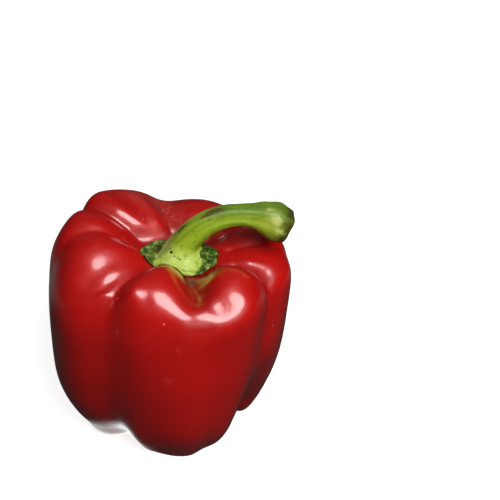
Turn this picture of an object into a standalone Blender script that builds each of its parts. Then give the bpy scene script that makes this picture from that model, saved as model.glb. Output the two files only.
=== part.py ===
"""A red bell pepper as picked: the lobed fruit, and its green stem with the calyx that caps the fruit.

The fruit stands upright on its four feet. X points along the stem's bend, Z points up, and the origin is on
the resting surface under the middle of the whole pepper.
"""

import math
from collections import namedtuple

import bpy
import numpy as np

MM = 0.001

# Driving sizes, in millimetres: the radius of the wall and the height of the crest of a plain lobe, the height
# of the seat under the calyx, how far a full groove draws the wall in and down, and how far the feet are pressed
# flat.
WALL_RADIUS = 48.0
CREST_HEIGHT = 88.0
SEAT_HEIGHT = 78.0
GROOVE_PULL = 6.0
GROOVE_DROP = 7.5
FOOT_PRESS = 3.3

# A station is one point of the wall's profile, from under the calyx over the shoulder to the middle of the
# base. Its radius, height, pull and drop are shares of the driving sizes. Lip, shoulder, belly and foot say how
# much of a lobe's own stretch at those places it takes, and rise how much of the lobe's own height. Spread is
# the reach of a groove's flanks and ease the rounding of its bottom, both in degrees round the axis.
Station = namedtuple("Station", "radius height lip shoulder belly foot rise pull drop spread ease")
SEAT_SHARE = SEAT_HEIGHT / CREST_HEIGHT
FOOT_SHARE = -FOOT_PRESS / CREST_HEIGHT
STATIONS = (
    Station(0.00, SEAT_SHARE, 0.0, 0.0, 0.0, 0.0, 0.0, 0.00, 0.00, 20.0, 8.0),
    Station(0.19, SEAT_SHARE, 0.0, 0.0, 0.0, 0.0, 0.0, 0.00, 0.04, 20.0, 8.0),
    Station(0.30, 0.910, 0.8, 0.0, 0.0, 0.0, 0.2, 0.00, 0.20, 16.0, 4.0),
    Station(0.375, 0.966, 1.0, 0.0, 0.0, 0.0, 0.8, -0.25, 0.75, 13.0, 2.0),
    Station(0.53, 1.000, 0.5, 0.5, 0.0, 0.0, 1.0, 0.00, 1.00, 12.0, 1.6),
    Station(0.75, 0.983, 0.0, 1.0, 0.0, 0.0, 0.9, 0.50, 1.00, 12.0, 2.0),
    Station(0.93, 0.898, 0.0, 0.7, 0.3, 0.0, 0.6, 1.00, 0.55, 13.0, 3.0),
    Station(1.00, 0.750, 0.0, 0.2, 0.8, 0.0, 0.2, 1.00, 0.00, 14.0, 5.0),
    Station(0.99, 0.568, 0.0, 0.0, 1.0, 0.0, 0.0, 0.85, 0.00, 15.0, 7.0),
    Station(0.93, 0.386, 0.0, 0.0, 0.7, 0.3, 0.0, 0.75, 0.00, 16.0, 7.0),
    Station(0.84, 0.216, 0.0, 0.0, 0.3, 0.7, 0.0, 0.90, -0.08, 16.0, 5.0),
    Station(0.71, 0.080, 0.0, 0.0, 0.0, 1.0, 0.0, 1.00, -0.40, 16.0, 4.0),
    Station(0.54, FOOT_SHARE, 0.0, 0.0, 0.0, 1.0, 0.2, 0.67, -0.87, 17.0, 4.0),
    Station(0.29, 0.040, 0.0, 0.0, 0.0, 0.5, 0.0, 0.00, -0.53, 20.0, 6.0),
    Station(0.00, 0.102, 0.0, 0.0, 0.0, 0.0, 0.0, 0.00, 0.00, 20.0, 8.0),
)
RINGS_PER_STATION = 3
COLUMNS_PER_DEGREE = 0.27

# A lobe is one bump of the shoulder. Azimuth is that of its crest, counted from +X towards +Y. The others are
# the millimetres that it adds to the plain lobe: to the radius at its inner lip, its shoulder, its belly and its
# foot, and to its height.
Lobe = namedtuple("Lobe", "name azimuth lip shoulder belly foot rise")
LOBES = (
    Lobe("right_front", -10.0, 4.0, 3.0, -4.0, 1.5, -6.2),
    Lobe("right_back", 22.0, 1.0, 0.0, -2.0, -5.0, -2.8),
    Lobe("back_right", 72.0, 0.0, -1.0, -1.0, 0.0, -1.5),
    Lobe("back_left", 132.0, 1.0, 9.5, 3.0, 2.0, 3.5),
    Lobe("left_back", 157.0, 8.5, 12.5, 6.5, 5.0, 7.0),
    Lobe("left_front", 198.0, -2.0, 4.0, 8.3, 12.5, 0.5),
    Lobe("front_left", 246.0, -4.5, -0.5, 1.0, 5.0, 2.5),
    Lobe("front_right", 312.0, 3.0, 1.0, -1.0, -0.5, 1.5),
)

# A groove lies between two lobes. Its azimuth may drift from the shoulder to the belly and the foot, its depth
# at each of the three is a share of a full groove's, and width stretches the reach of its flanks.
Groove = namedtuple("Groove", "name shoulder_azimuth belly_azimuth foot_azimuth shoulder belly foot width")
GROOVES = (
    Groove("right_seam", 8.0, 6.0, 6.0, 0.5, 0.05, 0.0, 1.0),
    Groove("back_right", 38.0, 44.0, 48.0, 0.9, 0.8, 0.9, 1.0),
    Groove("back_seam", 103.0, 100.0, 98.0, 0.8, 0.1, 0.0, 1.2),
    Groove("back_left", 147.0, 148.0, 150.0, 0.9, 0.8, 0.9, 1.0),
    Groove("left_seam", 172.0, 188.0, 188.0, 0.45, 0.25, 0.0, 1.0),
    Groove("front_left", 227.0, 230.0, 224.0, 0.9, 0.7, 1.2, 1.2),
    Groove("front_seam", 283.0, 278.0, 276.0, 1.5, 0.2, 0.0, 1.4),
    Groove("front_right", 342.0, 318.0, 326.0, 1.0, 0.9, 2.6, 0.9),
)
LOBE_BLEND = 14.0

# Swells and dents of the skin that follow no lobe: the azimuth and station of the middle, the reach in degrees and
# in stations, and the millimetres that it adds outwards and upwards there.
Swell = namedtuple("Swell", "azimuth station reach_azimuth reach_station out up")
SWELLS = (
    Swell(6.0, 3.7, 7.0, 1.0, 0.0, 1.1),
    Swell(14.0, 6.0, 12.0, 1.0, 1.0, 1.2),
    Swell(22.0, 3.9, 8.0, 0.9, 0.0, -0.8),
    Swell(110.0, 4.8, 12.0, 1.0, 0.0, -2.0),
    Swell(124.0, 3.7, 9.0, 1.0, 0.0, -2.0),
    Swell(138.0, 5.2, 13.0, 1.0, 1.0, 2.3),
    Swell(142.0, 3.9, 7.0, 1.0, 0.0, 1.2),
    Swell(153.0, 5.0, 9.0, 0.9, 0.0, 1.6),
    Swell(161.0, 5.7, 11.0, 0.9, -1.0, -0.7),
    Swell(188.0, 4.6, 12.0, 1.1, 0.0, 1.8),
    Swell(190.0, 12.0, 24.0, 0.9, 0.0, -1.8),
    Swell(200.0, 9.2, 20.0, 0.9, 1.6, 0.0),
    Swell(206.0, 5.2, 9.0, 0.4, 0.0, -0.5),
    Swell(212.0, 5.3, 10.0, 1.2, 0.0, -2.0),
    Swell(213.0, 4.5, 5.0, 0.5, 0.0, 0.4),
    Swell(219.0, 4.9, 3.5, 0.5, 0.0, -0.4),
    Swell(236.0, 5.2, 8.0, 0.9, 0.0, 1.4),
    Swell(240.0, 11.2, 9.0, 1.2, 2.2, 0.0),
    Swell(268.0, 11.4, 14.0, 1.1, -1.2, -0.3),
    Swell(273.0, 6.3, 9.0, 0.8, 1.2, 1.3),
    Swell(283.0, 5.6, 6.0, 0.6, 0.0, 1.2),
    Swell(286.0, 6.3, 18.0, 0.9, 2.0, 1.2),
    Swell(292.0, 5.8, 9.0, 0.5, -0.6, -1.1),
    Swell(293.0, 6.6, 12.0, 0.6, 1.2, 1.0),
    Swell(300.0, 11.2, 15.0, 1.1, 2.2, -0.8),
    Swell(306.0, 5.7, 10.0, 0.7, 0.0, 0.7),
    Swell(306.0, 6.4, 14.0, 0.9, 2.2, 2.4),
    Swell(315.0, 9.9, 13.0, 1.1, -0.9, 0.0),
    Swell(330.0, 10.5, 14.0, 1.2, -1.2, 0.0),
    Swell(342.0, 11.2, 12.0, 0.8, 0.4, -0.6),
    Swell(346.0, 10.1, 14.0, 0.9, -1.6, 0.0),
    Swell(347.0, 4.1, 6.0, 0.7, 0.0, 0.8),
    Swell(350.0, 3.4, 8.0, 0.8, 0.0, 1.2),
    Swell(355.0, 6.7, 10.0, 0.9, 0.7, 0.0),
)
PLACES = ("lip", "shoulder", "belly", "foot")
SHOULDER_STATION, BELLY_STATION, FOOT_STATION = 4.0, 8.0, 11.5

# The stem's centre line, as x and z over the middle of the seat in millimetres, with its radius there and with
# its lean, the degrees by which it has turned from upright towards +X.
StemPoint = namedtuple("StemPoint", "x z radius lean")
STEM_LINE = (
    StemPoint(0.8, 2.6, 9.8, 0.0),
    StemPoint(1.6, 4.6, 7.6, 6.0),
    StemPoint(3.2, 8.0, 5.9, 20.0),
    StemPoint(6.7, 12.2, 5.3, 40.0),
    StemPoint(12.4, 16.6, 4.9, 62.0),
    StemPoint(19.2, 18.9, 4.6, 78.0),
    StemPoint(24.8, 19.3, 4.5, 89.0),
    StemPoint(29.4, 18.8, 5.1, 99.0),
    StemPoint(33.8, 17.6, 6.7, 106.0),
    StemPoint(38.4, 15.6, 7.7, 114.0),
    StemPoint(42.6, 13.0, 6.8, 119.0),
)
STEM_SIDES = 48
STEM_RIBS = 5
STEM_RIB_DEPTH = 0.05
STEM_RINGS_PER_POINT = 3

# The calyx: its mean radius, its thickness and its gap to the fruit. Waves round its edge and over its top are
# given as count, size in millimetres and phase in degrees. Rings are shares of the way to the edge.
CALYX_RADIUS = 14.0
CALYX_WAVES = ((1, 1.2, 270.0), (2, 1.6, 330.0), (5, 0.6, 60.0), (11, 0.35, 80.0))
CALYX_THICKNESS = 1.3
CALYX_GAP = 0.45
CALYX_RUFFLES = ((9, 0.45, 20.0), (17, 0.3, 140.0))
CALYX_RINGS = (0.3, 0.55, 0.75, 0.9)
CALYX_TOP_RINGS = (0.97, 0.88, 0.78)

FRUIT_RED = (0.42, 0.008, 0.010, 1.0)
STEM_GREEN = (0.19, 0.36, 0.045, 1.0)


def catmull_rom(rows, samples):
    """Points on the smooth curve through the rows, where a sample of 2.5 is half way from row 2 to row 3."""
    rows = np.asarray(rows, float)
    index = np.clip(np.floor(samples).astype(int), 0, len(rows) - 2)
    t = samples - index
    padded = np.concatenate([[2 * rows[0] - rows[1]], rows, [2 * rows[-1] - rows[-2]]])
    a, b, c, d = (padded[index + k] for k in range(4))
    t = t.reshape(t.shape + (1,) * (rows.ndim - 1))
    return 0.5 * (2 * b + (c - a) * t + (2 * a - 5 * b + 4 * c - d) * t**2 + (3 * b - a - 3 * c + d) * t**3)


def turn_between(a, b):
    """The signed angle in degrees from b to a, by the short way round."""
    return (a - b + 180.0) % 360.0 - 180.0


def lobe_value(field, azimuths):
    """A lobe value at each azimuth, blended smoothly from lobe to lobe."""
    weights = [np.exp(LOBE_BLEND * (np.cos(np.radians(azimuths - lobe.azimuth)) - 1.0)) for lobe in LOBES]
    values = [getattr(lobe, field) for lobe in LOBES]
    return sum(w * v for w, v in zip(weights, values)) / sum(weights)


def along_wall(shoulder, belly, foot, index):
    """A groove's value at a station, from its values at the shoulder, the belly and the foot."""
    return np.interp(index, (SHOULDER_STATION, BELLY_STATION, FOOT_STATION), (shoulder, belly, foot))


def groove_azimuth(groove, index):
    return along_wall(groove.shoulder_azimuth, groove.belly_azimuth, groove.foot_azimuth, index)


def groove_depth(index, azimuths):
    """How deep the grooves are at each azimuth of a station, where 1 is a full groove's bottom."""
    station = STATIONS[index]
    total = np.zeros_like(azimuths)
    for groove in GROOVES:
        away = turn_between(azimuths, groove_azimuth(groove, index))
        ease, spread = station.ease * groove.width**2, station.spread * groove.width
        eased = np.sqrt(away**2 + ease**2) - ease
        total += along_wall(groove.shoulder, groove.belly, groove.foot, index) * np.exp(-eased / spread)
    return total


def station_ring(index, azimuths):
    """The wall's radius and height at each azimuth of a station."""
    station = STATIONS[index]
    depth = groove_depth(index, azimuths)
    radius = WALL_RADIUS * station.radius - GROOVE_PULL * station.pull * depth
    for place in PLACES:
        radius += getattr(station, place) * lobe_value(place, azimuths)
    height = CREST_HEIGHT * station.height - GROOVE_DROP * station.drop * depth
    return radius, height + station.rise * lobe_value("rise", azimuths)


def column_azimuths():
    """For each column of the fruit's mesh, its groove to the right and its share of the way to the next one."""
    columns = []
    for k, groove in enumerate(GROOVES):
        following = GROOVES[(k + 1) % len(GROOVES)]
        span = turn_between(following.shoulder_azimuth, groove.shoulder_azimuth) % 360.0
        count = max(6, round(span * COLUMNS_PER_DEGREE))
        for step in range(count):
            share = step / count
            columns.append((k, share - math.sin(2 * math.pi * share) * 0.35 / (2 * math.pi)))
    return columns


def azimuths_at(index, columns):
    """The azimuth of every column at a station, so that columns follow the grooves down the wall."""
    azimuths = []
    for k, share in columns:
        start = groove_azimuth(GROOVES[k], index)
        end = groove_azimuth(GROOVES[(k + 1) % len(GROOVES)], index)
        azimuths.append(start + (turn_between(end, start) % 360.0) * share)
    return np.array(azimuths)


def fruit_points(columns, rings_per_station):
    """The wall's points, one row for each ring from the seat down to the base, whose feet are pressed flat."""
    rows = []
    for index in range(len(STATIONS)):
        azimuths = azimuths_at(index, columns)
        radius, height = station_ring(index, azimuths)
        rows.append(np.stack([radius, azimuths, height], axis=-1))
    for end in (0, -1):
        rows[end][:, 0] = 0.0
        rows[end][:, 2] = CREST_HEIGHT * STATIONS[end].height
    samples = np.linspace(0.0, len(rows) - 1.0, (len(rows) - 1) * rings_per_station + 1)
    radius, azimuth, height = np.moveaxis(catmull_rom(rows, samples), -1, 0)
    for swell in SWELLS:
        across = turn_between(azimuth, swell.azimuth) / swell.reach_azimuth
        along = (samples[:, None] - swell.station) / swell.reach_station
        share = np.exp(-across**2 - along**2)
        radius += swell.out * share
        height += swell.up * share
    turn = np.radians(azimuth)
    return np.stack([radius * np.cos(turn), radius * np.sin(turn), np.maximum(height, 0.0)], axis=-1)


def seat_heights(azimuths):
    """A function that gives the wall's height at a radius inside the lip, for each of these azimuths."""
    rows = [np.stack(station_ring(index, azimuths), axis=-1) for index in range(6)]
    rows[0][:, 0] = 0.0
    profile = catmull_rom(rows, np.linspace(0.0, 4.0, 81))

    def height_at(radii):
        return np.array([np.interp(r, profile[:, k, 0], profile[:, k, 1]) for k, r in enumerate(radii)])

    return height_at


def waves(angles, terms):
    """A sum of waves round the axis, each given as count, size and phase in degrees."""
    return sum(size * np.cos(count * angles - math.radians(phase)) for count, size, phase in terms)


def calyx_rings(angles):
    """Rings of the calyx from the middle of its underside out to its edge and back over the top."""
    azimuths = np.degrees(angles)
    height_at = seat_heights(azimuths)
    edge = CALYX_RADIUS + waves(angles, CALYX_WAVES)
    rings = []
    for share in CALYX_RINGS + (1.0,):
        rings.append((edge * share, height_at(edge * share) + CALYX_GAP))
    for share in CALYX_TOP_RINGS:
        radius = edge * share
        ruffle = waves(angles, CALYX_RUFFLES) * (share - CALYX_TOP_RINGS[-1]) / (1 - CALYX_TOP_RINGS[-1])
        rings.append((radius, height_at(radius) + CALYX_GAP + CALYX_THICKNESS + ruffle))
    return [np.stack([r * np.cos(angles), r * np.sin(angles), z], axis=-1) for r, z in rings]


def stem_rings(angles):
    """Rings of the stem from the calyx to the cut end, each turned by its lean."""
    line = np.array(STEM_LINE)
    samples = np.linspace(0.0, len(line) - 1.0, (len(line) - 1) * STEM_RINGS_PER_POINT + 1)
    rings = []
    for x, z, radius, lean in catmull_rom(line, samples):
        ribbed = radius * (1.0 + STEM_RIB_DEPTH * np.cos(STEM_RIBS * angles))
        side = ribbed * np.cos(angles)
        points = [x + side * math.cos(math.radians(lean)), ribbed * np.sin(angles)]
        points.append(SEAT_HEIGHT + z - side * math.sin(math.radians(lean)))
        rings.append(np.stack(points, axis=-1))
    return rings


def mesh_object(name, rings, first_point, last_point, colour, roughness):
    """A closed mesh through the rings, with a fan to a point at each end, as an object of that name."""
    count = len(rings[0])
    points = [first_point] + [p for ring in rings for p in ring] + [last_point]
    last = len(points) - 1
    faces = [(0, 1 + (k + 1) % count, 1 + k) for k in range(count)]
    for row in range(len(rings) - 1):
        start = 1 + row * count
        for k in range(count):
            right = (k + 1) % count
            faces.append((start + k, start + right, start + count + right, start + count + k))
    start = last - count
    faces += [(last, start + k, start + (k + 1) % count) for k in range(count)]
    mesh = bpy.data.meshes.new(name)
    mesh.from_pydata([tuple(float(v) * MM for v in p) for p in points], [], faces)
    mesh.shade_smooth()
    material = bpy.data.materials.new(name)
    material.use_nodes = True
    shader = material.node_tree.nodes["Principled BSDF"]
    shader.inputs["Base Color"].default_value = colour
    shader.inputs["Roughness"].default_value = roughness
    shader.inputs["Metallic"].default_value = 0.0
    mesh.materials.append(material)
    obj = bpy.data.objects.new(name, mesh)
    bpy.context.scene.collection.objects.link(obj)
    return obj


def face_out(obj):
    """Turns the faces round if they point into the solid."""
    mesh = obj.data
    mesh.calc_loop_triangles()
    points = np.array([v.co for v in mesh.vertices])
    corners = np.array([t.vertices for t in mesh.loop_triangles])
    if np.linalg.det(points[corners]).sum() < 0:
        mesh.flip_normals()


def make_fruit():
    rings = fruit_points(column_azimuths(), RINGS_PER_STATION)
    fruit = mesh_object("fruit", list(rings[1:-1]), rings[0][0], rings[-1][0], FRUIT_RED, 0.22)
    face_out(fruit)
    return fruit


def make_stem_with_calyx():
    angles = np.linspace(0.0, 2 * math.pi, STEM_SIDES, endpoint=False)
    stem = stem_rings(angles)
    rings = calyx_rings(angles) + stem
    underside = np.array([0.0, 0.0, SEAT_HEIGHT + CALYX_GAP])
    cut_middle = stem[-1].mean(axis=0)
    part = mesh_object("stem_with_calyx", rings, underside, cut_middle, STEM_GREEN, 0.45)
    face_out(part)
    return part


def main():
    for obj in list(bpy.data.objects):
        bpy.data.objects.remove(obj, do_unlink=True)
    parts = [make_fruit(), make_stem_with_calyx()]
    points = np.array([v.co for part in parts for v in part.data.vertices])
    middle = (points.min(axis=0) + points.max(axis=0)) / 2
    for part in parts:
        part.location = (-middle[0], -middle[1], 0.0)


main()
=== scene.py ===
"""The looks of a red bell pepper: its waxy skin, its stem with the calyx, and a pale studio round it.

The skin and the stem repeat the shape of the solids that they replace, at a finer pitch and with the
small relief that the solids leave out. Lengths in the tables are millimetres where nothing else is said,
and azimuths are degrees from +X to +Y.
"""

import math
from collections import namedtuple

import bpy
import numpy as np
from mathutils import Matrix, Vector, noise


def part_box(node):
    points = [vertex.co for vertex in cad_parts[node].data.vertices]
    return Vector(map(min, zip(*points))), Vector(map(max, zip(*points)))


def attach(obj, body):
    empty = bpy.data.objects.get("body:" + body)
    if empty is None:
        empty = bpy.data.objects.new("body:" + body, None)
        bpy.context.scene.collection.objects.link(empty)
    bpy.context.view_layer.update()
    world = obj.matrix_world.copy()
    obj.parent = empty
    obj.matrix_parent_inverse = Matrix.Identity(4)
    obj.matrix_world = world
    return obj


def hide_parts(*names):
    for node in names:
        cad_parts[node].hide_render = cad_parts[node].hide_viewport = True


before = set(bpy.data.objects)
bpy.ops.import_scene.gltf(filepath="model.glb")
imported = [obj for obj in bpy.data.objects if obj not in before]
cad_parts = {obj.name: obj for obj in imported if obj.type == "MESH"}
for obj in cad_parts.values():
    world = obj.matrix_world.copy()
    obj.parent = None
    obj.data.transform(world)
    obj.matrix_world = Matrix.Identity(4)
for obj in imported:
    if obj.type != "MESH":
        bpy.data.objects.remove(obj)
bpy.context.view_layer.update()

MM = 0.001

# The fruit's shape, as in the solids. The stations are rings of the wall, from the middle of the seat over
# the shoulder and down to the middle of the base. Each has its share of the wall's radius and of the
# crest's height, then how much of the lobes' values it takes, from lip to rise, then how the grooves cut it.
WALL_RADIUS = 48.0
CREST_HEIGHT = 88.0
SEAT_HEIGHT = 78.0
GROOVE_PULL = 6.0
GROOVE_DROP = 7.5
FOOT_PRESS = 3.3
Station = namedtuple("Station", "radius height lip shoulder belly foot rise pull drop spread ease")
SEAT_SHARE = SEAT_HEIGHT / CREST_HEIGHT
FOOT_SHARE = -FOOT_PRESS / CREST_HEIGHT
STATIONS = (
    Station(0.00, SEAT_SHARE, 0.0, 0.0, 0.0, 0.0, 0.0, 0.00, 0.00, 20.0, 8.0),
    Station(0.19, SEAT_SHARE, 0.0, 0.0, 0.0, 0.0, 0.0, 0.00, 0.04, 20.0, 8.0),
    Station(0.30, 0.910, 0.8, 0.0, 0.0, 0.0, 0.2, 0.00, 0.20, 16.0, 4.0),
    Station(0.375, 0.966, 1.0, 0.0, 0.0, 0.0, 0.8, -0.25, 0.75, 13.0, 2.0),
    Station(0.53, 1.000, 0.5, 0.5, 0.0, 0.0, 1.0, 0.00, 1.00, 12.0, 1.6),
    Station(0.75, 0.983, 0.0, 1.0, 0.0, 0.0, 0.9, 0.50, 1.00, 12.0, 2.0),
    Station(0.93, 0.898, 0.0, 0.7, 0.3, 0.0, 0.6, 1.00, 0.55, 13.0, 3.0),
    Station(1.00, 0.750, 0.0, 0.2, 0.8, 0.0, 0.2, 1.00, 0.00, 14.0, 5.0),
    Station(0.99, 0.568, 0.0, 0.0, 1.0, 0.0, 0.0, 0.85, 0.00, 15.0, 7.0),
    Station(0.93, 0.386, 0.0, 0.0, 0.7, 0.3, 0.0, 0.75, 0.00, 16.0, 7.0),
    Station(0.84, 0.216, 0.0, 0.0, 0.3, 0.7, 0.0, 0.90, -0.08, 16.0, 5.0),
    Station(0.71, 0.080, 0.0, 0.0, 0.0, 1.0, 0.0, 1.00, -0.40, 16.0, 4.0),
    Station(0.54, FOOT_SHARE, 0.0, 0.0, 0.0, 1.0, 0.2, 0.67, -0.87, 17.0, 4.0),
    Station(0.29, 0.040, 0.0, 0.0, 0.0, 0.5, 0.0, 0.00, -0.53, 20.0, 6.0),
    Station(0.00, 0.102, 0.0, 0.0, 0.0, 0.0, 0.0, 0.00, 0.00, 20.0, 8.0),
)
Lobe = namedtuple("Lobe", "name azimuth lip shoulder belly foot rise")
LOBES = (
    Lobe("right_front", -10.0, 4.0, 3.0, -4.0, 1.5, -6.2),
    Lobe("right_back", 22.0, 1.0, 0.0, -2.0, -5.0, -2.8),
    Lobe("back_right", 72.0, 0.0, -1.0, -1.0, 0.0, -1.5),
    Lobe("back_left", 132.0, 1.0, 9.5, 3.0, 2.0, 3.5),
    Lobe("left_back", 157.0, 8.5, 12.5, 6.5, 5.0, 7.0),
    Lobe("left_front", 198.0, -2.0, 4.0, 8.3, 12.5, 0.5),
    Lobe("front_left", 246.0, -4.5, -0.5, 1.0, 5.0, 2.5),
    Lobe("front_right", 312.0, 3.0, 1.0, -1.0, -0.5, 1.5),
)
Groove = namedtuple("Groove", "name shoulder_azimuth belly_azimuth foot_azimuth shoulder belly foot width")
GROOVES = (
    Groove("right_seam", 8.0, 6.0, 6.0, 0.5, 0.05, 0.0, 1.0),
    Groove("back_right", 38.0, 44.0, 48.0, 0.9, 0.8, 0.9, 1.0),
    Groove("back_seam", 103.0, 100.0, 98.0, 0.8, 0.1, 0.0, 1.2),
    Groove("back_left", 147.0, 148.0, 150.0, 0.9, 0.8, 0.9, 1.0),
    Groove("left_seam", 172.0, 188.0, 188.0, 0.45, 0.25, 0.0, 1.0),
    Groove("front_left", 227.0, 230.0, 224.0, 0.9, 0.7, 1.2, 1.2),
    Groove("front_seam", 283.0, 278.0, 276.0, 1.5, 0.2, 0.0, 1.4),
    Groove("front_right", 342.0, 318.0, 326.0, 1.0, 0.9, 2.6, 0.9),
)
LOBE_BLEND = 14.0
# Swells of the wall: where each one lies, how far it reaches, and how far it moves the wall out and up.
Swell = namedtuple("Swell", "azimuth station reach_azimuth reach_station out up")
SWELLS = (
    Swell(6.0, 3.7, 7.0, 1.0, 0.0, 1.1),
    Swell(14.0, 6.0, 12.0, 1.0, 1.0, 1.2),
    Swell(22.0, 3.9, 8.0, 0.9, 0.0, -0.8),
    Swell(110.0, 4.8, 12.0, 1.0, 0.0, -2.0),
    Swell(124.0, 3.7, 9.0, 1.0, 0.0, -2.0),
    Swell(138.0, 5.2, 13.0, 1.0, 1.0, 2.3),
    Swell(142.0, 3.9, 7.0, 1.0, 0.0, 1.2),
    Swell(153.0, 5.0, 9.0, 0.9, 0.0, 1.6),
    Swell(161.0, 5.7, 11.0, 0.9, -1.0, -0.7),
    Swell(188.0, 4.6, 12.0, 1.1, 0.0, 1.8),
    Swell(190.0, 12.0, 24.0, 0.9, 0.0, -1.8),
    Swell(200.0, 9.2, 20.0, 0.9, 1.6, 0.0),
    Swell(206.0, 5.2, 9.0, 0.4, 0.0, -0.5),
    Swell(212.0, 5.3, 10.0, 1.2, 0.0, -2.0),
    Swell(213.0, 4.5, 5.0, 0.5, 0.0, 0.4),
    Swell(219.0, 4.9, 3.5, 0.5, 0.0, -0.4),
    Swell(236.0, 5.2, 8.0, 0.9, 0.0, 1.4),
    Swell(240.0, 11.2, 9.0, 1.2, 2.2, 0.0),
    Swell(268.0, 11.4, 14.0, 1.1, -1.2, -0.3),
    Swell(273.0, 6.3, 9.0, 0.8, 1.2, 1.3),
    Swell(283.0, 5.6, 6.0, 0.6, 0.0, 1.2),
    Swell(286.0, 6.3, 18.0, 0.9, 2.0, 1.2),
    Swell(292.0, 5.8, 9.0, 0.5, -0.6, -1.1),
    Swell(293.0, 6.6, 12.0, 0.6, 1.2, 1.0),
    Swell(300.0, 11.2, 15.0, 1.1, 2.2, -0.8),
    Swell(306.0, 5.7, 10.0, 0.7, 0.0, 0.7),
    Swell(306.0, 6.4, 14.0, 0.9, 2.2, 2.4),
    Swell(315.0, 9.9, 13.0, 1.1, -0.9, 0.0),
    Swell(330.0, 10.5, 14.0, 1.2, -1.2, 0.0),
    Swell(342.0, 11.2, 12.0, 0.8, 0.4, -0.6),
    Swell(346.0, 10.1, 14.0, 0.9, -1.6, 0.0),
    Swell(347.0, 4.1, 6.0, 0.7, 0.0, 0.8),
    Swell(350.0, 3.4, 8.0, 0.8, 0.0, 1.2),
    Swell(355.0, 6.7, 10.0, 0.9, 0.7, 0.0),
)
# Smaller swells that only the skin has.
FINE_SWELLS = (
    Swell(135.0, 4.6, 4.0, 1.0, 0.0, 0.22),
    Swell(222.5, 5.55, 3.8, 0.32, 0.0, 0.7),
    Swell(240.0, 5.35, 5.0, 0.4, 0.0, 0.65),
    Swell(250.0, 5.45, 3.5, 0.3, 0.0, -0.35),
)
PLACES = ("lip", "shoulder", "belly", "foot")
# The stations that the grooves' values are given for.
SHOULDER_STATION, BELLY_STATION, FOOT_STATION = 4.0, 8.0, 11.5
# Columns for each degree and rings for each station, first of the solids and then of the skin. Between two
# grooves lie at least a few columns, which crowd towards the grooves by a share.
COARSE_COLUMNS, COARSE_RINGS = 0.27, 3
FINE_COLUMNS, FINE_RINGS = 1.05, 15
FEWEST_COLUMNS = 6
COLUMN_CROWDING = 0.35

# The stem's centre line over the middle of the seat and the calyx, as in the solids.
StemPoint = namedtuple("StemPoint", "x z radius lean")
STEM_LINE = (
    StemPoint(0.8, 2.6, 9.8, 0.0),
    StemPoint(1.6, 4.6, 7.6, 6.0),
    StemPoint(3.2, 8.0, 5.9, 20.0),
    StemPoint(6.7, 12.2, 5.3, 40.0),
    StemPoint(12.4, 16.6, 4.9, 62.0),
    StemPoint(19.2, 18.9, 4.6, 78.0),
    StemPoint(24.8, 19.3, 4.5, 89.0),
    StemPoint(29.4, 18.8, 5.1, 99.0),
    StemPoint(33.8, 17.6, 6.7, 106.0),
    StemPoint(38.4, 15.6, 7.7, 114.0),
    StemPoint(42.6, 13.0, 6.8, 119.0),
)
STEM_RIBS = 5
STEM_RIB_DEPTH = 0.05
STEM_SIDES = 240
STEM_ANGLES = np.linspace(0.0, 2 * math.pi, STEM_SIDES, endpoint=False)
STEM_RINGS_PER_POINT = 14
# The cut end, from its rim to its middle: each ring's share of the rim's radius and how far in it lies.
CUT_RINGS = (
    (0.992, -0.06), (0.975, -0.08), (0.95, -0.02), (0.92, 0.10), (0.88, 0.25), (0.82, 0.36), (0.75, 0.42),
    (0.66, 0.46), (0.56, 0.50), (0.46, 0.55), (0.36, 0.62), (0.27, 0.70), (0.18, 0.76), (0.09, 0.80),
)
# The calyx, with the waves of its edge and the ruffles of its top as count, size and phase in degrees.
CALYX_RADIUS = 14.0
CALYX_WAVES = ((1, 1.2, 270.0), (2, 1.6, 330.0), (5, 0.6, 60.0), (11, 0.35, 80.0))
CALYX_THICKNESS = 1.3
CALYX_GAP = 0.45
CALYX_RUFFLES = ((9, 0.45, 20.0), (17, 0.3, 140.0))
CALYX_UNDER_RINGS = (0.2, 0.4, 0.6, 0.75, 0.85, 0.93, 0.975)
CALYX_TOP_RINGS = (1.0, 0.985, 0.965, 0.945, 0.92, 0.895, 0.87, 0.845, 0.82, 0.80, 0.78)

# The pale smooth part of the calyx: the azimuth that it faces, its radius on the far side, how much further
# it reaches on the near side, and the width of its border to the dark rim.
PALE_TOWARDS = math.radians(262.0)
PALE_RADIUS = 5.8
PALE_REACH = 9.5
RIM_BLEND = 1.6
# Pits at the top of the calyx, as azimuth, place along the stem's line and size.
PITS = (
    (205.0, 1.50, 0.30),
    (210.0, 1.42, 0.45),
    (223.0, 1.25, 0.70),
    (229.0, 1.25, 0.30),
    (240.0, 1.05, 0.38),
    (251.0, 0.92, 0.32),
    (260.0, 0.85, 0.38),
)
PIT_DEPTH = 0.35
# Brown scars of the stem: the place along its line, the azimuth, and the reach along and across.
STEM_SCARS = ((4.5, 192.0, 0.5, 20.0), (4.1, 203.0, 0.35, 11.0), (2.75, 181.0, 0.4, 9.0))
# Pale patches on the knob at the end of the stem, in the same order.
KNOB_PATCHES = ((8.6, 236.0, 0.6, 22.0), (8.05, 203.0, 0.35, 9.0), (9.1, 262.0, 0.4, 12.0))
# The stem's relief as pitch and height: fibres, which are drawn out along it, the lumps of its end, and the
# crinkles of the calyx's rim. The end starts at this place of the stem's line.
FIBRE_STRETCH = 0.16
FIBRES = (0.28, 0.16)
LUMPS = (4.0, 0.3)
CRINKLES = (2.0, 0.5)
END_STARTS = 7.0

# The skin's shallow waves as pitch, height and seed. They start at this station, and a row of the skin has
# all of them where it is this high.
SKIN_WAVES = ((17.0, 0.16, 1), (7.0, 0.05, 2), (3.2, 0.015, 3))
WAVES_START = 2.0
WAVES_FULL_HEIGHT = 3.0
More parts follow.
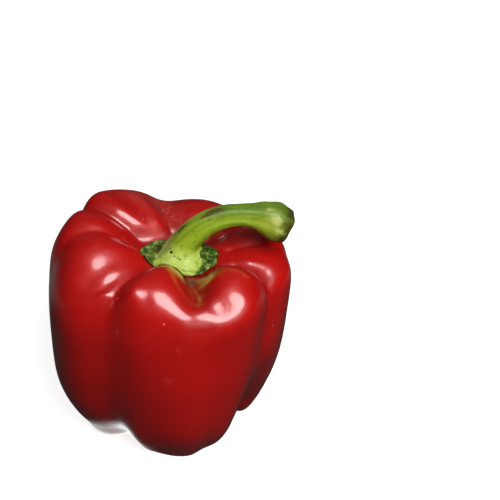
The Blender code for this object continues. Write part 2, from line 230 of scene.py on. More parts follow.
# Olive tint and painted shade by the calyx, then frosty scuffs, as station, azimuth, and reach along the
# wall and across it.
OLIVE_AND_SHADE_MARKS = ((2.2, 284.0, 0.5, 7.0), (2.7, 284.0, 0.45, 3.0))
SCUFFS = (
    (4.2, 101.0, 1.2, 7.0),
    (4.6, 118.0, 0.8, 5.0),
    (3.6, 90.0, 0.6, 6.0),
    (2.9, 126.0, 0.5, 5.0),
    (2.2, 163.0, 0.6, 1.5),
    (5.8, 228.0, 0.16, 1.2),
    (6.8, 236.0, 0.10, 1.0),
    (7.8, 263.0, 0.06, 1.6),
    (7.0, 268.0, 0.06, 0.8),
)

# Colours, as linear red, green and blue.
RED_LIGHT = (0.33, 0.004, 0.003, 1.0)
RED_DARK = (0.27, 0.003, 0.002, 1.0)
# A deeper red for the mottling, also used as painted shade in the grooves.
RED_DEEP = (0.16, 0.002, 0.002, 1.0)
# A dark olive brown: an olive tint that also paints the shade at the bottom of the front groove under the
# calyx's edge.
OLIVE_AND_SHADE = (0.045, 0.016, 0.004, 1.0)
SPECK_PINK = (0.75, 0.30, 0.24, 1.0)
SKIN_ROUGHNESS = 0.34
WAX_ROUGHNESS = 0.15
# The pitch of the pale specks in metres, and where the skin has fine wrinkles.
SPECK_PITCH = 0.007
WRINKLES_AT = (12.0, -38.0, 80.0)
WRINKLES_REACH = 10.0
# The stem's colours by their place along it, as shares of this many steps of its line.
STEM_LENGTH = 10.5
STEM_COLOURS = (
    (0.00, (0.27, 0.34, 0.055, 1.0)),
    (0.12, (0.28, 0.36, 0.060, 1.0)),
    (0.20, (0.18, 0.26, 0.010, 1.0)),
    (0.50, (0.15, 0.22, 0.008, 1.0)),
    (0.78, (0.17, 0.22, 0.012, 1.0)),
    (0.90, (0.09, 0.12, 0.010, 1.0)),
)
# Dark green of the stem's fibres and dots, also used as painted shade along the stem's top.
GREEN_DARK = (0.050, 0.10, 0.006, 1.0)
GREEN_PALE = (0.34, 0.42, 0.07, 1.0)
KNOB_YELLOW = (0.42, 0.44, 0.13, 1.0)
RIM_COLOURS = (
    (0.36, (0.006, 0.018, 0.002, 1.0)),
    (0.50, (0.030, 0.060, 0.006, 1.0)),
    (0.62, (0.10, 0.15, 0.020, 1.0)),
    (0.74, (0.30, 0.35, 0.10, 1.0)),
)
# Brown of the scars and of the cut face's bundles, also used as painted shade on the stem's underside.
SCAR_AND_SHADE_BROWN = (0.050, 0.030, 0.009, 1.0)
TIP_BROWN = (0.034, 0.026, 0.005, 1.0)
PIT_BROWN = (0.015, 0.010, 0.003, 1.0)
# Colours of the cut face, from its rim at 0 to its middle at 1.
CUT_COLOURS = (
    (0.00, (0.036, 0.034, 0.006, 1.0)),
    (0.10, (0.12, 0.13, 0.030, 1.0)),
    (0.24, (0.36, 0.34, 0.14, 1.0)),
    (0.42, (0.24, 0.25, 0.075, 1.0)),
    (0.70, (0.42, 0.40, 0.20, 1.0)),
)

# The camera stands this many metres from the middle of the seat, this many degrees above the horizon, and
# looks at this point. The picture is this many metres wide at the seat, and the sensor is in millimetres.
CAMERA_DISTANCE = 0.6
CAMERA_ELEVATION = 35.0
CAMERA_AIM = (32.07, 0.99, 79.76)
VIEW_WIDTH = 0.2
SENSOR = 36.0

# The lights, whose distance and size are metres. All of them face this point, in metres too. Reflections
# show the overhead light alone, and the soft ones only light the colours.
LIT_POINT = (0.0, 0.0, 0.05)
Light = namedtuple("Light", "name azimuth elevation distance size power")
OVERHEAD = Light("overhead", 280.0, 76.0, 0.8, 0.56, 7.0)
SOFT_LIGHTS = (
    Light("key", 298.0, 49.0, 0.8, 0.5, 11.6),
    Light("fill", 288.0, 20.0, 1.3, 1.6, 4.8),
    Light("side", 170.0, 12.0, 1.3, 1.4, 1.8),
    Light("back", 95.0, 8.0, 1.3, 1.4, 15.0),
)
WORLD_GREY = 0.035

# The floor reaches this far each way in metres, and glows so that it stays pale.
FLOOR_REACH = 12.0
FLOOR_GREY, FLOOR_GLOW = 0.45, 0.82
# Reflections show a floor of their own, this many metres below. It glows in a band behind the fruit, which
# starts, is full, begins to fall and ends at these metres from front to back, and round a place under the
# left foot, which is in millimetres.
MIRROR_DROP = 0.0005
GLOW_BAND = (0.05, 0.12, 0.16, 0.36)
GLOW_LOW, GLOW_HIGH = 0.03, 0.12
FOOT_GLOW_AT = (-22.0, -10.0, 0.0)
FOOT_GLOW_REACH = 24.0
FOOT_GLOW = 2.0


def catmull_rom(rows, samples):
    """Points on the smooth curve through the rows, where a sample of 2.5 is half way from row 2 to row 3."""
    rows = np.asarray(rows, float)
    index = np.clip(np.floor(samples).astype(int), 0, len(rows) - 2)
    t = samples - index
    padded = np.concatenate([[2 * rows[0] - rows[1]], rows, [2 * rows[-1] - rows[-2]]])
    a, b, c, d = (padded[index + k] for k in range(4))
    t = t.reshape(t.shape + (1,) * (rows.ndim - 1))
    square, cube = 2 * a - 5 * b + 4 * c - d, 3 * b - a - 3 * c + d
    return 0.5 * (2 * b + (c - a) * t + square * t**2 + cube * t**3)


def turn_between(a, b):
    """The signed angle in degrees from b to a, by the short way round."""
    return (a - b + 180.0) % 360.0 - 180.0


def lobe_value(field, azimuths):
    """A lobe value at each azimuth, blended smoothly from lobe to lobe."""
    nearness = [np.cos(np.radians(azimuths - lobe.azimuth)) - 1.0 for lobe in LOBES]
    weights = [np.exp(LOBE_BLEND * near) for near in nearness]
    values = [getattr(lobe, field) for lobe in LOBES]
    return sum(w * v for w, v in zip(weights, values)) / sum(weights)


def along_wall(shoulder, belly, foot, index):
    """A groove's value at a station, from its values at the shoulder, the belly and the foot."""
    return np.interp(index, (SHOULDER_STATION, BELLY_STATION, FOOT_STATION), (shoulder, belly, foot))


def groove_azimuth(groove, index):
    """The azimuth of a groove's bottom at a station."""
    return along_wall(groove.shoulder_azimuth, groove.belly_azimuth, groove.foot_azimuth, index)


def groove_depth(index, azimuths):
    """How deep the grooves are at each azimuth of a station, where 1 is a full groove's bottom."""
    station = STATIONS[index]
    total = np.zeros_like(azimuths)
    for groove in GROOVES:
        away = turn_between(azimuths, groove_azimuth(groove, index))
        ease, spread = station.ease * groove.width**2, station.spread * groove.width
        eased = np.sqrt(away**2 + ease**2) - ease
        total += along_wall(groove.shoulder, groove.belly, groove.foot, index) * np.exp(-eased / spread)
    return total


def station_ring(index, azimuths):
    """The wall's radius and height at each azimuth of a station."""
    station = STATIONS[index]
    depth = groove_depth(index, azimuths)
    radius = WALL_RADIUS * station.radius - GROOVE_PULL * station.pull * depth
    for place in PLACES:
        radius += getattr(station, place) * lobe_value(place, azimuths)
    height = CREST_HEIGHT * station.height - GROOVE_DROP * station.drop * depth
    return radius, height + station.rise * lobe_value("rise", azimuths)


def column_azimuths(columns_per_degree):
    """For each column of the mesh, the groove to its right and its share of the way to the next one."""
    columns = []
    for k, groove in enumerate(GROOVES):
        following = GROOVES[(k + 1) % len(GROOVES)]
        span = turn_between(following.shoulder_azimuth, groove.shoulder_azimuth) % 360.0
        count = max(FEWEST_COLUMNS, round(span * columns_per_degree))
        for step in range(count):
            share = step / count
            shift = math.sin(2 * math.pi * share) * COLUMN_CROWDING / (2 * math.pi)
            columns.append((k, share - shift))
    return columns


def azimuths_at(index, columns):
    """The azimuth of every column at a station, so that columns follow the grooves down the wall."""
    azimuths = []
    for k, share in columns:
        start = groove_azimuth(GROOVES[k], index)
        end = groove_azimuth(GROOVES[(k + 1) % len(GROOVES)], index)
        azimuths.append(start + (turn_between(end, start) % 360.0) * share)
    return np.array(azimuths)


def skin_grid(columns, rings_per_station, swells):
    """The wall's radius, azimuth and height in rows from the seat to the base, with each row's station."""
    rows = []
    for index in range(len(STATIONS)):
        azimuths = azimuths_at(index, columns)
        radius, height = station_ring(index, azimuths)
        rows.append(np.stack([radius, azimuths, height], axis=-1))
    for end in (0, -1):
        rows[end][:, 0] = 0.0
        rows[end][:, 2] = CREST_HEIGHT * STATIONS[end].height
    samples = np.linspace(0.0, len(rows) - 1.0, (len(rows) - 1) * rings_per_station + 1)
    radius, azimuth, height = np.moveaxis(catmull_rom(rows, samples), -1, 0)
    for swell in swells:
        across = turn_between(azimuth, swell.azimuth) / swell.reach_azimuth
        along = (samples[:, None] - swell.station) / swell.reach_station
        share = np.exp(-across**2 - along**2)
        radius += swell.out * share
        height += swell.up * share
    return radius, azimuth, height, samples


def to_points(radius, azimuth, height):
    """Points of the wall from their radius, azimuth and height, none of them below the resting plane."""
    turn = np.radians(azimuth)
    return np.stack([radius * np.cos(turn), radius * np.sin(turn), np.maximum(height, 0.0)], axis=-1)


def solids_offset():
    """How far the solids were moved from the axis of the tables, from the box of the coarse wall."""
    wall = skin_grid(column_azimuths(COARSE_COLUMNS), COARSE_RINGS, SWELLS)
    coarse = to_points(*wall[:3]).reshape(-1, 3)
    middle = (coarse.min(axis=0) + coarse.max(axis=0)) / 2
    low, high = (np.array(corner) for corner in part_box("fruit"))
    offset = (low + high) / 2 / MM - middle
    return np.array([offset[0], offset[1], 0.0])


def from_axis(point, offset):
    """A point that is given in millimetres from the axis of the tables, in metres and in its place."""
    return (Vector(point) + Vector(offset)) * MM


def noise_at(points, pitch, seed):
    """Smooth noise from -1 to 1 at each point, with bumps about one pitch wide."""
    shift = Vector((seed * 7.3, seed * 3.1, seed * 5.7))
    return np.array([noise.noise(Vector(p) / pitch + shift) for p in points])


def outward_normals(grid):
    """The outward normal at each point of a closed grid of rows."""
    around = np.roll(grid, -1, axis=1) - np.roll(grid, 1, axis=1)
    down = np.gradient(grid, axis=0)
    normals = np.cross(down, around)
    normals = normals / np.maximum(np.linalg.norm(normals, axis=-1, keepdims=True), 1e-9)
    middle = len(grid) // 2
    outward = grid[middle] - grid[middle].mean(axis=0)
    return normals if (normals[middle] * outward).sum() > 0 else -normals


def closed_faces(count, rows):
    """Faces through rows of this many points, with a fan to the first point and one to the last."""
    last = rows * count + 1
    faces = [(0, 1 + k, 1 + (k + 1) % count) for k in range(count)]
    for row in range(rows - 1):
        start = 1 + row * count
        for k in range(count):
            right = (k + 1) % count
            faces.append((start + k, start + count + k, start + count + right, start + right))
    start = last - count
    return faces + [(last, start + (k + 1) % count, start + k) for k in range(count)]


def mesh_piece(name, rings, first_point, last_point, offset):
    """A closed mesh through the rings and the two points, turned inside out if its volume is below zero."""
    points = np.concatenate([[first_point], np.concatenate(rings), [last_point]])
    mesh = bpy.data.meshes.new(name)
    mesh.from_pydata(((points + offset) * MM).tolist(), [], closed_faces(len(rings[0]), len(rings)))
    mesh.shade_smooth()
    mesh.calc_loop_triangles()
    corners = np.array([t.vertices for t in mesh.loop_triangles])
    if np.linalg.det(points[corners]).sum() < 0:
        mesh.flip_normals()
    piece = bpy.data.objects.new(name, mesh)
    bpy.context.scene.collection.objects.link(piece)
    return piece


def add_attribute(piece, name, values):
    """Stores one number, or one vector, for each point of the piece."""
    values = np.asarray(values, np.float32)
    kind, field = ("FLOAT", "value") if values.ndim == 1 else ("FLOAT_VECTOR", "vector")
    piece.data.attributes.new(name, kind, "POINT").data.foreach_set(field, values.ravel())


def marks(places, azimuths, spots):
    """How much each point lies in one of the spots, given as place, azimuth and reach along and across."""
    found = np.zeros(places.shape)
    for place, azimuth, reach, width in spots:
        along = (places - place) / reach
        across = turn_between(azimuths, azimuth) / width
        found = np.maximum(found, np.exp(-along**2 - across**2))
    return found


def within_box(grid, box, offset):
    """The grid's points, kept inside the box of the solid that the piece replaces."""
    low, high = (np.array(corner) / MM - offset for corner in box)
    return np.clip(grid, low, high)


def skin_relief(points):
    """The height of the skin's shallow waves at each point."""
    return sum(height * noise_at(points, pitch, seed) for pitch, height, seed in SKIN_WAVES)


def waves_share(samples, height):
    """How much of the waves each row of the skin has: none on the seat, and little where it rests."""
    low = np.clip(height / WAVES_FULL_HEIGHT, 0.0, 1.0).mean(axis=1)
    return np.clip(samples - WAVES_START, 0.0, 1.0) * low


def make_skin(offset):
    """The fruit's skin at a fine pitch, with shallow waves and the marks that its material reads."""
    columns = column_azimuths(FINE_COLUMNS)
    radius, azimuth, height, samples = skin_grid(columns, FINE_RINGS, SWELLS + FINE_SWELLS)
    grid = to_points(radius, azimuth, height)
    relief = skin_relief(grid.reshape(-1, 3)).reshape(grid.shape[:2])
    relief = relief * waves_share(samples, height)[:, None]
    grid = within_box(grid + outward_normals(grid) * relief[..., None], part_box("fruit"), offset)
    skin = mesh_piece("pepper_skin", list(grid[1:-1]), grid[0][0], grid[-1][0], offset)
    groove = np.stack([groove_depth(int(round(s)), azimuth[k]) for k, s in enumerate(samples)])
    station = np.repeat(samples[:, None], len(columns), axis=1)
    # The olive marks are partly painted shade at the bottom of the front groove by the calyx.
    scuff, olive_and_shade = marks(station, azimuth, SCUFFS), marks(station, azimuth, OLIVE_AND_SHADE_MARKS)
    for name, values in (("groove", groove), ("olive_and_shade", olive_and_shade), ("scuff", scuff)):
        values = np.concatenate([values[0, :1], values[1:-1].ravel(), values[-1, :1]])
        add_attribute(skin, name, values)
    return skin


def seat_heights(azimuths):
    """A function that gives the wall's height at a radius inside the lip, for each of these azimuths."""
    rows = [np.stack(station_ring(index, azimuths), axis=-1) for index in range(6)]
    rows[0][:, 0] = 0.0
    profile = catmull_rom(rows, np.linspace(0.0, 4.0, 81))

    def height_at(radii):
        return np.array([np.interp(r, profile[:, k, 0], profile[:, k, 1]) for k, r in enumerate(radii)])

    return height_at


def waves(angles, terms):
    """A sum of waves round the axis, each given as count, size and phase in degrees."""
    return sum(size * np.cos(count * angles - math.radians(phase)) for count, size, phase in terms)


def calyx_rings(angles):
    """Rings of the calyx from the middle of its underside out to its edge and back over the top."""
    height_at = seat_heights(np.degrees(angles))
    edge = CALYX_RADIUS + waves(angles, CALYX_WAVES)
    rings = []
    for share in CALYX_UNDER_RINGS:
        rings.append((edge * share, height_at(edge * share) + CALYX_GAP))
    inner = CALYX_TOP_RINGS[-1]
    for share in CALYX_TOP_RINGS:
        rounding = min(1.0, math.sqrt(max(0.0, (1.0 - share) / 0.05)))
        ruffle = waves(angles, CALYX_RUFFLES) * (share - inner) / (1 - inner) * rounding
        lift = CALYX_GAP + CALYX_THICKNESS * (0.35 + 0.65 * rounding)
        rings.append((edge * share, height_at(edge * share) + lift + ruffle))
    return [np.stack([r * np.cos(angles), r * np.sin(angles), z], axis=-1) for r, z in rings]


def stem_ring(x, z, radius, lean, angles, ribs):
    """A ring of the stem round a point of its centre line, turned by its lean."""
    ribbed = radius * ribs
    side = ribbed * np.cos(angles)
    points = [x + side * math.cos(math.radians(lean)), ribbed * np.sin(angles)]
    points.append(SEAT_HEIGHT + z - side * math.sin(math.radians(lean)))
    return np.stack(points, axis=-1)


def stem_rings(angles):
    """Rings of the stem from the calyx to the cut end, then over the cut's edge and in to its middle."""
    line = np.array(STEM_LINE)
    samples = np.linspace(0.0, len(line) - 1.0, (len(line) - 1) * STEM_RINGS_PER_POINT + 1)
    rings = []
    ribs = 1.0 + STEM_RIB_DEPTH * np.cos(STEM_RIBS * angles)
    for x, z, radius, lean in catmull_rom(line, samples):
        rings.append(stem_ring(x, z, radius, lean, angles, ribs))
    x, z, radius, lean = line[-1]
    inward = np.array([math.sin(math.radians(lean)), 0.0, math.cos(math.radians(lean))])
    for share, sink in CUT_RINGS:
        ribs = 1.0 + STEM_RIB_DEPTH * share * np.cos(STEM_RIBS * angles)
        ring = stem_ring(x, z, radius * share, lean, angles, ribs)
        rings.append(ring - inward * sink)
    return rings


def calyx_rim(grid, length):
    """How much each point of the calyx and the neck belongs to its dark crinkled rim, from 0 to 1."""
    radius = np.hypot(grid[..., 0], grid[..., 1])
    towards = np.array([math.cos(PALE_TOWARDS), math.sin(PALE_TOWARDS), 0.0])
    facing = (grid @ towards) / np.maximum(radius, 1e-6)
    border = PALE_RADIUS + PALE_REACH * np.clip(facing, 0.0, 1.0)
    return np.clip((radius - border) / RIM_BLEND, 0.0, 1.0) * np.clip((1.6 - length) / 0.5, 0.0, 1.0)


def pits(grid):
    """How deep in one of the small dark pits at the top of the calyx each point lies, from 0 to 1."""
    deepest = np.zeros(grid.shape[:2])
    for angle, place, size in PITS:
        row = len(CALYX_UNDER_RINGS) + len(CALYX_TOP_RINGS) + round(place * STEM_RINGS_PER_POINT)
        centre = grid[row, round(angle / 360.0 * STEM_SIDES)]
        away = np.linalg.norm(grid - centre, axis=-1) / size
        deepest = np.maximum(deepest, np.exp(-away**2))
    return deepest


def unrolled(length):
    """For each point of the stem, a place on a circle for its way round, then its place along the stem."""
    around = np.broadcast_to(STEM_ANGLES, length.shape)
    return np.stack([np.cos(around), np.sin(around), length], axis=-1)


def stem_relief(grid, length, rim):
    """The stem's fibres, the lumps of its end and the crinkles of the calyx, as heights in millimetres."""
    points, fibres = grid.reshape(-1, 3), unrolled(length * FIBRE_STRETCH).reshape(-1, 3)
    pitch, height = FIBRES
    relief = height * noise_at(fibres, pitch, 11).reshape(length.shape) * np.clip(length - 0.6, 0.0, 1.0)
    pitch, height = LUMPS
    on_end = np.clip((length - END_STARTS) / 1.5, 0.0, 1.0)
    relief = relief + height * noise_at(points, pitch, 12).reshape(length.shape) * on_end
    pitch, height = CRINKLES
    crinkles = noise_at(points, pitch, 13) + 0.5 * noise_at(points, pitch / 2, 14)
    return relief + height * crinkles.reshape(length.shape) * rim


def make_stem(offset):
    """The stem with its calyx at a fine pitch, with its relief and the marks that its material reads."""
    calyx, stem = calyx_rings(STEM_ANGLES), stem_rings(STEM_ANGLES)
    grid = np.array(calyx + stem)
    row = np.arange(len(grid))[:, None]
    length = np.repeat((row - len(calyx)) / float(STEM_RINGS_PER_POINT), STEM_SIDES, axis=1)
    rim, pit = calyx_rim(grid, length), pits(grid)
    upper = np.clip((row - len(CALYX_UNDER_RINGS)) / 2.0, 0.0, 1.0)
    relief = stem_relief(grid, length, rim) * upper - PIT_DEPTH * pit
    grid = grid + outward_normals(grid) * relief[..., None]
    grid = within_box(grid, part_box("stem_with_calyx"), offset)
    underside = np.array([0.0, 0.0, SEAT_HEIGHT + CALYX_GAP])
    piece = mesh_piece("pepper_stem", list(grid), underside, grid[-1].mean(axis=0), offset)
    add_stem_marks(piece, length, rim, pit)
    return piece


def add_stem_marks(piece, length, rim, pit):
    """Stores the grain, the rim, the pits, the scars, the patches and the cut face for the material."""
    grain = unrolled(length).reshape(-1, 3)
    grain = np.concatenate([[[0.0, 0.0, -1.0]], grain, [[0.0, 0.0, length[-1, 0]]]])
    add_attribute(piece, "grain", grain)
    degrees = np.degrees(STEM_ANGLES)
    scar, patch = marks(length, degrees, STEM_SCARS), marks(length, degrees, KNOB_PATCHES)
    cut = np.zeros(length.shape)
    cut[-len(CUT_RINGS):] = np.array([1.0 - share for share, sink in CUT_RINGS])[:, None]
    for name, values in (("rim", rim), ("pit", pit), ("scar", scar), ("patch", patch), ("cut", cut)):
        add_attribute(piece, name, np.concatenate([[0.0], values.ravel(), [values[-1, 0]]]))


class Paint:
    """A material's node tree, with short ways to add the nodes that it needs."""

    def __init__(self, name):
        self.material = bpy.data.materials.new(name)
        self.material.use_nodes = True
        self.tree = self.material.node_tree
        self.shader = self.tree.nodes["Principled BSDF"]
        self.place = self.add("ShaderNodeTexCoord").outputs["Object"]

    def add(self, kind, inputs=(), **settings):
        """A new node with these settings, and with these inputs set or linked."""
        node = self.tree.nodes.new(kind)
        for name, value in settings.items():
            setattr(node, name, value)
        for key, value in dict(inputs).items():
            self.set(node.inputs[key], value)
        return node

    def set(self, socket, value):
        """Links another node's output to the socket, or gives it a plain value."""
        if isinstance(value, bpy.types.NodeSocket):
            self.tree.links.new(value, socket)
        else:
            socket.default_value = value

    def math(self, operation, a, b=0.0):
        """The result of a sum or a product."""
        return self.add("ShaderNodeMath", {0: a, 1: b}, operation=operation).outputs[0]

    def noise(self, pitch, detail=2.0, roughness=0.5, distortion=0.0, place=None):
        """Noise from 0 to 1 with bumps about one pitch wide, in metres if the place is the object's own."""
        inputs = {"Vector": place or self.place, "Scale": 1.0 / pitch, "Detail": detail}
        inputs.update({"Roughness": roughness, "Distortion": distortion})
        return self.add("ShaderNodeTexNoise", inputs).outputs["Fac"]

    def band(self, value, low, high, start=0.0, end=1.0):
        """The value taken smoothly from start at low to end at high."""
        inputs = {"Value": value, "From Min": low, "From Max": high, "To Min": start, "To Max": end}
        return self.add("ShaderNodeMapRange", inputs, interpolation_type="SMOOTHSTEP").outputs["Result"]

    def mix(self, share, a, b, blend="MIX"):
        """Colour a with colour b blended over it by the share."""
        node = self.add("ShaderNodeMix", data_type="RGBA", blend_type=blend)
        for key, value in ((0, share), (6, a), (7, b)):
            self.set(node.inputs[key], value)
        return node.outputs[2]

    def attribute(self, name, output="Fac"):
        """What the piece's points store under this name."""
        return self.add("ShaderNodeAttribute", attribute_name=name).outputs[output]

    def ramp(self, value, stops):
        """A colour for the value, from stops of position and colour."""
        node = self.add("ShaderNodeValToRGB", {"Fac": value})
        elements = node.color_ramp.elements
        while len(elements) < len(stops):
            elements.new(0.5)
        for element, (position, colour) in zip(elements, stops):
            element.position = position
            element.color = colour
        return node.outputs["Color"]

    def near(self, centre, radius):
        """1 round a centre, falling smoothly to 0 from 0.3 of the radius to all of it, in metres."""
        away = self.add("ShaderNodeVectorMath", {0: self.place, 1: centre}, operation="DISTANCE")
        return self.band(away.outputs["Value"], radius, 0.3 * radius)

    def bump(self, height, distance, strength, normal=None):
        """A normal that is bumped by the height, on top of another one if that is given."""
        node = self.add("ShaderNodeBump", {"Height": height, "Distance": distance, "Strength": strength})
        if normal:
            self.set(node.inputs["Normal"], normal)
        return node.outputs["Normal"]


def skin_colour(paint):
    """Deep red with painted shade in the grooves, olive tint and painted shade by the calyx, fine mottling,
    pale specks.
    """
    red = paint.mix(paint.noise(0.028, 2.0), RED_DARK, RED_LIGHT)
    red = paint.mix(paint.band(paint.noise(0.0016, 3.0, 0.6), 0.35, 0.75, 0.0, 0.25), red, RED_DEEP)
    # Painted shade: the grooves are darkened towards a deeper red by their depth.
    red = paint.mix(paint.band(paint.attribute("groove"), 0.5, 1.1, 0.0, 0.5), red, RED_DEEP)
    clouds = paint.band(paint.noise(0.004, 4.0, 0.65, 1.0), 0.3, 0.6, 0.4, 1.0)
    # Olive tint with painted shade at the bottom of the front groove by the calyx.
    red = paint.mix(paint.math("MULTIPLY", paint.attribute("olive_and_shade"), clouds), red, OLIVE_AND_SHADE)
    cells = paint.add("ShaderNodeTexVoronoi", {"Vector": paint.place, "Scale": 1.0 / SPECK_PITCH})
    speck = paint.band(cells.outputs["Distance"], 0.055, 0.03)
    chosen = paint.band(cells.outputs["Color"], 0.62, 0.66)
    return paint.mix(paint.math("MULTIPLY", paint.math("MULTIPLY", speck, chosen), 0.5), red, SPECK_PINK)


def skin_normal(paint, offset):
    """The finest relief of the skin: its pores, a soft orange peel, and wrinkles on the front shoulder."""
    fine = paint.bump(paint.noise(0.0009, 2.0, 0.5), 0.00002, 0.35)
    fine = paint.bump(paint.noise(0.0028, 2.0, 0.5, 0.3), 0.00012, 0.45, fine)
    wrinkle = paint.noise(0.0014, 3.0, 0.6, 1.2)
    where = paint.near(from_axis(WRINKLES_AT, offset), WRINKLES_REACH * MM)
    return paint.bump(paint.math("MULTIPLY", wrinkle, where), 0.0001, 0.6, fine)


def skin_material(offset):
    """Glossy waxed skin, duller in its frosty scuffs and in the marks of olive tint and painted shade by the
    calyx.
    """
    paint = Paint("fruit_skin")
    shader = paint.shader
    flecks = paint.band(paint.noise(0.0011, 4.0, 0.7, 1.5), 0.5, 0.68)
    frost = paint.math("MULTIPLY", paint.attribute("scuff"), flecks)
    colour = paint.mix(paint.math("MULTIPLY", frost, 0.55), skin_colour(paint), SPECK_PINK)
    paint.set(shader.inputs["Base Color"], colour)
    low, high = SKIN_ROUGHNESS - 0.04, SKIN_ROUGHNESS + 0.05
    rough = paint.band(paint.noise(0.004, 3.0, 0.6), 0.3, 0.7, low, high)
    rough = paint.math("ADD", rough, paint.math("MULTIPLY", frost, 0.25))
    rough = paint.math("ADD", rough, paint.math("MULTIPLY", paint.attribute("olive_and_shade"), 0.4))
    paint.set(shader.inputs["Roughness"], rough)
    normal = skin_normal(paint, offset)
    paint.set(shader.inputs["Normal"], normal)
    shader.inputs["IOR"].default_value = 1.45
    shader.inputs["Coat Weight"].default_value = 1.0
    shader.inputs["Coat Roughness"].default_value = WAX_ROUGHNESS
    shader.inputs["Coat IOR"].default_value = 1.5
    paint.set(shader.inputs["Coat Normal"], normal)
    return paint.material


def stem_colour(paint, grain, length):
    """Yellow-green along the stem, pale on the calyx's dome, dark on its rim and at the cut end, with
    painted shade on its top and underside.
    """
    colour = paint.ramp(paint.math("MULTIPLY", length, 1.0 / STEM_LENGTH), STEM_COLOURS)
    streaks = paint.add("ShaderNodeMapping", {"Vector": grain, "Scale": (1.0, 1.0, 0.12)}).outputs["Vector"]
    wide = paint.noise(0.45, 3.0, 0.6, 0.4, streaks)
    thin = paint.noise(0.12, 3.0, 0.65, 0.2, streaks)
    colour = paint.mix(paint.band(wide, 0.52, 0.72, 0.0, 0.55), colour, GREEN_DARK)
    colour = paint.mix(paint.band(thin, 0.55, 0.75, 0.0, 0.35), colour, GREEN_PALE)
    colour = paint.mix(paint.band(thin, 0.45, 0.28, 0.0, 0.45), colour, GREEN_DARK)
    side = paint.add("ShaderNodeSeparateXYZ", {"Vector": grain}).outputs["X"]
    # Painted shade: darker green along the top of the stem.
    upper = paint.math("MULTIPLY", paint.band(side, -0.35, -0.9), paint.band(length, 3.6, 5.0, 0.0, 0.75))
    colour = paint.mix(upper, colour, GREEN_DARK)
    # Painted shade: a brown darkening on the underside of the stem.
    underside_shade = paint.math("MULTIPLY", paint.band(side, 0.55, 0.95), paint.band(length, 3.0, 6.0, 0.0, 0.7))
    colour = paint.mix(underside_shade, colour, SCAR_AND_SHADE_BROWN)
    clouds = paint.band(paint.noise(0.0032, 3.0, 0.5, 0.4), 0.2, 0.6)
    patch = paint.math("MULTIPLY", paint.attribute("patch"), clouds)
    colour = paint.mix(paint.band(patch, 0.05, 1.0, 0.0, 0.52), colour, KNOB_YELLOW)
    dots = paint.band(paint.noise(0.0007, 3.0, 0.6), 0.57, 0.64)
    low = paint.band(length, 1.4, 0.2)
    return paint.mix(paint.math("MULTIPLY", dots, paint.math("MULTIPLY", low, 0.45)), colour, GREEN_DARK)


def rim_colour(paint):
    """Dark mottled green with paler crinkles."""
    return paint.ramp(paint.noise(0.0018, 3.0, 0.55, 0.5), RIM_COLOURS)


def cut_colour(paint):
    """The cut face: a brown skin, a pale woody ring with darker bundles, and a pale spongy middle."""
    wobble = paint.band(paint.noise(0.0022, 3.0, 0.6), 0.3, 0.7, -0.05, 0.05)
    face = paint.ramp(paint.math("ADD", paint.attribute("cut"), wobble), CUT_COLOURS)
    bundles = paint.band(paint.noise(0.0009, 3.0, 0.6), 0.5, 0.65, 0.0, 0.55)
    return paint.mix(bundles, face, SCAR_AND_SHADE_BROWN)


def marked_colour(paint, colour, length):
    """The stem's colour with the calyx's dark rim, brown scars, the brown tip, the pits and the cut face."""
    edge = paint.band(paint.noise(0.0016, 3.0), 0.3, 0.7, -0.3, 0.3)
    edge = paint.math("ADD", paint.attribute("rim"), edge)
    colour = paint.mix(paint.band(edge, 0.1, 0.6), colour, rim_colour(paint))
    scar = paint.band(paint.noise(0.001, 4.0, 0.7), 0.3, 0.6, 0.3, 1.0)
    scar = paint.math("MULTIPLY", paint.attribute("scar"), scar)
    colour = paint.mix(paint.band(scar, 0.12, 0.45, 0.0, 0.92), colour, SCAR_AND_SHADE_BROWN)
    tip = paint.math("ADD", length, paint.band(paint.noise(0.003, 4.0, 0.6), 0.3, 0.7, -0.5, 0.4))
    colour = paint.mix(paint.band(tip, 9.0, 9.7, 0.0, 0.94), colour, TIP_BROWN)
    colour = paint.mix(paint.band(paint.attribute("pit"), 0.25, 0.6), colour, PIT_BROWN)
    return paint.mix(paint.band(paint.attribute("cut"), 0.015, 0.06), colour, cut_colour(paint))


def stem_normal(paint, grain):
    """The finest relief of the stem: fibres along it, pores, and crinkles on the calyx's rim."""
    fibres = paint.add("ShaderNodeMapping", {"Vector": grain, "Scale": (1.0, 1.0, 0.08)}).outputs["Vector"]
    normal = paint.bump(paint.noise(0.05, 3.0, 0.6, 0.1, fibres), 0.00012, 0.5)
    normal = paint.bump(paint.noise(0.0006, 3.0, 0.6), 0.00006, 0.5, normal)
    crinkle = paint.math("MULTIPLY", paint.noise(0.0016, 3.0, 0.6, 0.4), paint.attribute("rim"))
    return paint.bump(crinkle, 0.0006, 0.7, normal)


def stem_material():
    """The satin flesh of the stem and the calyx."""
    paint = Paint("stem_green")
    shader = paint.shader
    grain = paint.attribute("grain", "Vector")
    length = paint.add("ShaderNodeSeparateXYZ", {"Vector": grain}).outputs["Z"]
    colour = marked_colour(paint, stem_colour(paint, grain, length), length)
    paint.set(shader.inputs["Base Color"], colour)
    shader.inputs["Specular IOR Level"].default_value = 0.28
    rough = paint.band(paint.noise(0.0018, 3.0), 0.3, 0.7, 0.38, 0.55)
    paint.set(shader.inputs["Roughness"], rough)
    paint.set(shader.inputs["Normal"], stem_normal(paint, grain))
    return paint.material


def look_at(obj, target):
    """Turns a light or the camera towards a point in metres."""
    direction = Vector(target) - obj.location
    obj.rotation_euler = direction.to_track_quat("-Z", "Y").to_euler()


def direction_of(azimuth, elevation):
    """The unit vector towards an azimuth and an elevation in degrees."""
    a, e = math.radians(azimuth), math.radians(elevation)
    return Vector((math.cos(a) * math.cos(e), math.sin(a) * math.cos(e), math.sin(e)))


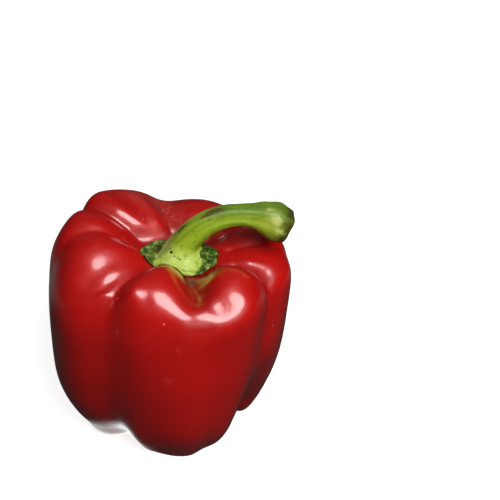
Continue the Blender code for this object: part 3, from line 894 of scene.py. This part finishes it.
def add_light(light):
    """A round soft light that faces the lit point."""
    data = bpy.data.lights.new(light.name, "AREA")
    data.shape = "DISK"
    data.size = light.size
    data.energy = light.power
    lamp = bpy.data.objects.new(light.name, data)
    lamp.location = Vector(LIT_POINT) + direction_of(light.azimuth, light.elevation) * light.distance
    bpy.context.scene.collection.objects.link(lamp)
    look_at(lamp, LIT_POINT)
    return lamp


def floor_paint(name, grey):
    """A matt floor that can glow."""
    paint = Paint(name)
    inputs = paint.shader.inputs
    inputs["Base Color"].default_value = (grey, grey, grey, 1.0)
    inputs["Roughness"].default_value = 1.0
    inputs["Specular IOR Level"].default_value = 0.0
    inputs["Emission Color"].default_value = (1.0, 1.0, 1.0, 1.0)
    return paint


def even_floor(name):
    """The pale floor that the camera sees."""
    paint = floor_paint(name, FLOOR_GREY)
    paint.set(paint.shader.inputs["Emission Strength"], FLOOR_GLOW)
    return paint.material


def glowing_floor(name, offset):
    """The dark floor that reflections show, which glows in a band behind the fruit and under a foot."""
    paint = floor_paint(name, 0.0)
    depth = paint.add("ShaderNodeSeparateXYZ", {"Vector": paint.place}).outputs["Y"]
    start, full, falling, end = GLOW_BAND
    rise, fall = paint.band(depth, start, full), paint.band(depth, end, falling)
    glow = paint.band(paint.math("MULTIPLY", rise, fall), 0.0, 1.0, GLOW_LOW, GLOW_HIGH)
    foot = paint.near(from_axis(FOOT_GLOW_AT, offset), FOOT_GLOW_REACH * MM)
    glow = paint.math("ADD", glow, paint.math("MULTIPLY", foot, FOOT_GLOW))
    paint.set(paint.shader.inputs["Emission Strength"], glow)
    return paint.material


def add_floor(name, material, height):
    """A wide flat floor at this height, which is no part of the object."""
    mesh = bpy.data.meshes.new(name)
    corners = [(x * FLOOR_REACH, y * FLOOR_REACH, height) for x, y in ((-1, -1), (1, -1), (1, 1), (-1, 1))]
    mesh.from_pydata(corners, [], [(0, 1, 2, 3)])
    floor = bpy.data.objects.new(name, mesh)
    bpy.context.scene.collection.objects.link(floor)
    mesh.materials.append(material)
    return floor


def make_studio(offset):
    """The lights, the floors and a dim world that reflections don't show."""
    add_light(OVERHEAD).visible_diffuse = False
    for light in SOFT_LIGHTS:
        add_light(light).visible_glossy = False
    seen = add_floor("floor_seen", even_floor("floor_seen"), 0.0)
    seen.visible_diffuse = seen.visible_glossy = seen.visible_shadow = False
    mirrored = add_floor("floor_mirrored", glowing_floor("floor_glow", offset), -MIRROR_DROP)
    mirrored.visible_camera = mirrored.visible_diffuse = mirrored.visible_shadow = False
    world = bpy.data.worlds.new("studio")
    world.use_nodes = True
    colour = (WORLD_GREY, WORLD_GREY, WORLD_GREY, 1.0)
    world.node_tree.nodes["Background"].inputs["Color"].default_value = colour
    world.cycles_visibility.glossy = False
    bpy.context.scene.world = world


def make_camera(offset):
    """The camera at the photo's viewing angle."""
    data = bpy.data.cameras.new("camera")
    camera = bpy.data.objects.new("camera", data)
    bpy.context.scene.collection.objects.link(camera)
    seat = from_axis((0.0, 0.0, SEAT_HEIGHT), offset)
    camera.location = seat + direction_of(270.0, CAMERA_ELEVATION) * CAMERA_DISTANCE
    data.sensor_width = SENSOR
    data.lens = SENSOR * CAMERA_DISTANCE / VIEW_WIDTH
    look_at(camera, Vector(CAMERA_AIM) * MM)
    bpy.context.scene.camera = camera


offset = solids_offset()
skin = make_skin(offset)
stem = make_stem(offset)
skin.data.materials.append(skin_material(offset))
stem.data.materials.append(stem_material())
for piece, node, slot in ((skin, "fruit", "fruit_skin"), (stem, "stem_with_calyx", "stem_green")):
    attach(piece, "root")
    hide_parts(node)
make_camera(offset)
make_studio(offset)
bpy.context.scene.view_settings.view_transform = "Standard"
